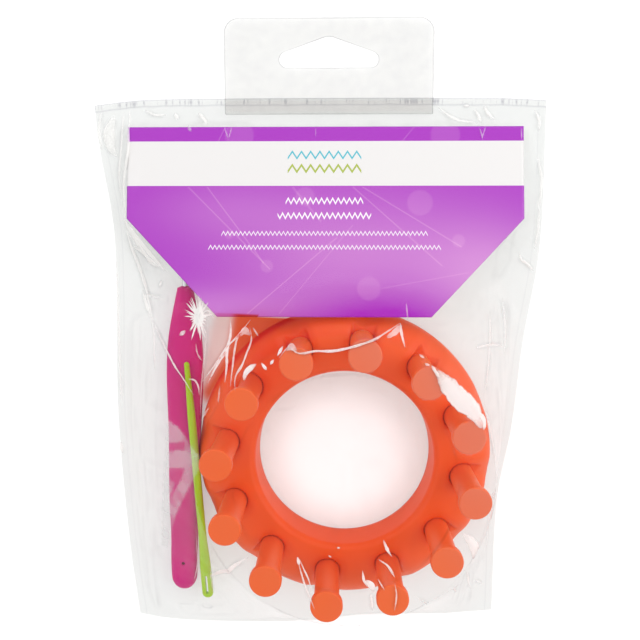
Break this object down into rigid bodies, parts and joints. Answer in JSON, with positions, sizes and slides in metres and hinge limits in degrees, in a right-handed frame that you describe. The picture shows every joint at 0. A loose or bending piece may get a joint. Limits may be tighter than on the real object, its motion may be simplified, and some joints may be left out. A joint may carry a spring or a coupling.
{
  "type": "round knitting loom kit",
  "caption": "Round knitting loom with capped pegs, a hook and a yarn needle, in a clear film pouch with a header card and a hang tab.",
  "frame": {"origin": "under the middle of the pack, on the surface that its back lies on", "axes": "+X across the pack to the right, +Y up the pack towards the hang tab, +Z out of the pack's front along the pegs"},
  "size_m": [0.1437, 0.201, 0.0368],
  "materials": {
    "pouch_film": "clear thin film, glossy and creased",
    "tab_sheet": "clear stiff sheet",
    "adhesive": "clear tacky strip",
    "printed_card": "coated card, printed purple and white",
    "orange_plastic": "moulded, satin",
    "magenta_plastic": "moulded, satin",
    "lime_plastic": "moulded, slightly translucent",
    "steel": "bright drawn wire"
  },
  "bodies": {
    "pouch": {"pouch_back_film": "pouch_film", "pouch_front_film": "pouch_film", "header_card": "printed_card", "hang_tab_foot": "tab_sheet", "tab_adhesive": "adhesive"},
    "loom": {"loom_ring": "orange_plastic", "peg_01": "orange_plastic", "peg_02": "orange_plastic", "peg_03": "orange_plastic", "peg_04": "orange_plastic", "peg_05": "orange_plastic", "peg_06": "orange_plastic", "peg_07": "orange_plastic", "peg_08": "orange_plastic", "peg_09": "orange_plastic", "peg_10": "orange_plastic", "peg_11": "orange_plastic", "peg_12": "orange_plastic"},
    "hook": {"hook_handle": "magenta_plastic", "hook_pick": "steel"},
    "needle": {"yarn_needle": "lime_plastic"},
    "hang_tab": {"hang_tab": "tab_sheet"}
  },
  "joints": [
    {"name": "tab_fold", "type": "hinge", "parent": "pouch", "child": "hang_tab", "pos_m": [0.0031, 0.0765, 0.0021], "axis": [1, 0, 0], "range_deg": [0, 130]},
    {"name": "loom_turn", "type": "hinge", "parent": "pouch", "child": "loom", "pos_m": [0.0084, -0.0377, 0.0007], "axis": [0, 0, 1], "continuous": true},
    {"name": "hook_shift", "type": "slide", "parent": "pouch", "child": "hook", "axis": [0.0262, 0.9997, 0], "range_m": [-0.004, 0.005]},
    {"name": "needle_shift", "type": "slide", "parent": "pouch", "child": "needle", "axis": [-0.0645, 0.9978, 0.0157], "range_m": [-0.003, 0.012]}
  ]
}
